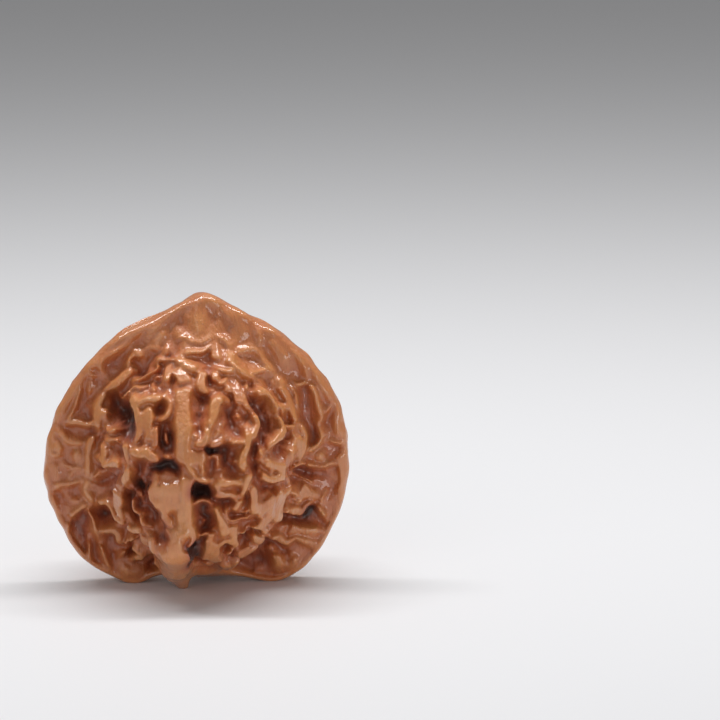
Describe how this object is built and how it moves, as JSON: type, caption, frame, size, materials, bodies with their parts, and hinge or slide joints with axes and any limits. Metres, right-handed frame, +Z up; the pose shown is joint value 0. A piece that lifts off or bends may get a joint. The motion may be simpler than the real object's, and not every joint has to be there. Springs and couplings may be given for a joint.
{
  "type": "wenwan walnut",
  "caption": "Polished wenwan walnut standing on its foot, with a low point, a flange round its seam, a keel and a deep net of ridges.",
  "frame": {"origin": "on the ground, under the middle of the nut", "axes": "+X across the flange, to the right as the keeled face is seen; +Y away from the keeled face; +Z up, from the foot to the point"},
  "size_m": [0.0463, 0.0353, 0.0447],
  "materials": {
    "shell": "reddish-brown nut shell with a waxy polish from handling"
  },
  "bodies": {
    "root": {"walnut": "shell"}
  },
  "joints": []
}
